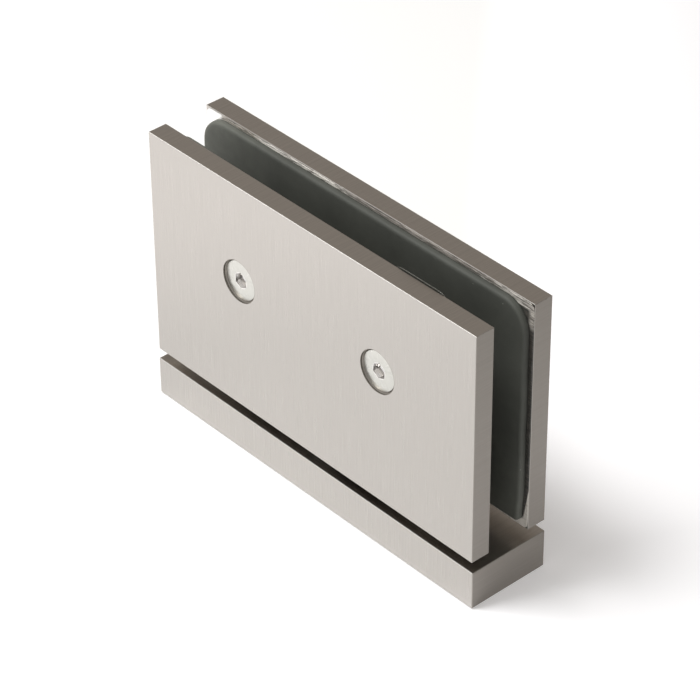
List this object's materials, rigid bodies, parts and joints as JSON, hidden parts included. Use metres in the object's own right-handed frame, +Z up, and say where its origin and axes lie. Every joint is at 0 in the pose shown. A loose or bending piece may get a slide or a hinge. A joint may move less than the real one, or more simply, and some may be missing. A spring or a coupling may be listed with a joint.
{
  "type": "pivot shower door hinge",
  "caption": "Glass door pivot hinge: gasketed clamp plates grip the glass over a notch and turn on a vertical pin above a flat bar fixed to the threshold.",
  "frame": {"origin": "centre of the base bar's bottom face, on the pivot axis", "axes": "+Z up along the pivot pin, +X along the bar towards its right end as seen from the screw side, -Y out of the plate with the two clamp screws"},
  "size_m": [0.0904, 0.0186, 0.0618],
  "materials": {
    "brushed_nickel": "satin nickel with fine straight brushing",
    "screw_steel": "smooth satin stainless steel",
    "pin_steel": "ground stainless steel",
    "spring_steel": "drawn stainless wire",
    "block_brass": "nickel-plated brass, machined",
    "bush_bronze": "sintered bronze",
    "washer_acetal": "turned black acetal",
    "gasket_rubber": "matt die-cut rubber",
    "adhesive_film": "milky adhesive film, scuffed at its edges"
  },
  "bodies": {
    "base": {"base_plate": "brushed_nickel", "pivot_pin": "pin_steel", "pin_lock_screw": "screw_steel", "thrust_washer": "washer_acetal"},
    "clamp": {"pivot_block": "block_brass", "lower_bush": "bush_bronze", "upper_bush": "bush_bronze", "spring_left": "spring_steel", "spring_right": "spring_steel", "spring_plug_left": "screw_steel", "spring_plug_right": "screw_steel", "front_plate": "brushed_nickel", "rear_plate": "brushed_nickel", "clamp_screw_left": "screw_steel", "clamp_screw_right": "screw_steel", "block_screw_left": "screw_steel", "block_screw_right": "screw_steel", "front_gasket": "gasket_rubber", "rear_gasket": "gasket_rubber", "front_adhesive_film": "adhesive_film", "rear_adhesive_film": "adhesive_film"},
    "left_plunger": {"plunger_left": "pin_steel"},
    "right_plunger": {"plunger_right": "pin_steel"}
  },
  "joints": [
    {"name": "door_pivot", "type": "hinge", "parent": "base", "child": "clamp", "pos_m": [0, 0, 0.0108], "axis": [0, 0, 1], "range_deg": [-90, 90]},
    {"name": "left_plunger_slide", "type": "slide", "parent": "clamp", "child": "left_plunger", "axis": [-1, 0, 0], "range_m": [-0.00035, 0.001], "stiffness_N_per_m": 7300, "springref_m": -0.0025, "deforming": ["spring_left"]},
    {"name": "right_plunger_slide", "type": "slide", "parent": "clamp", "child": "right_plunger", "axis": [1, 0, 0], "range_m": [-0.00035, 0.001], "stiffness_N_per_m": 7300, "springref_m": -0.0025, "deforming": ["spring_right"]}
  ]
}
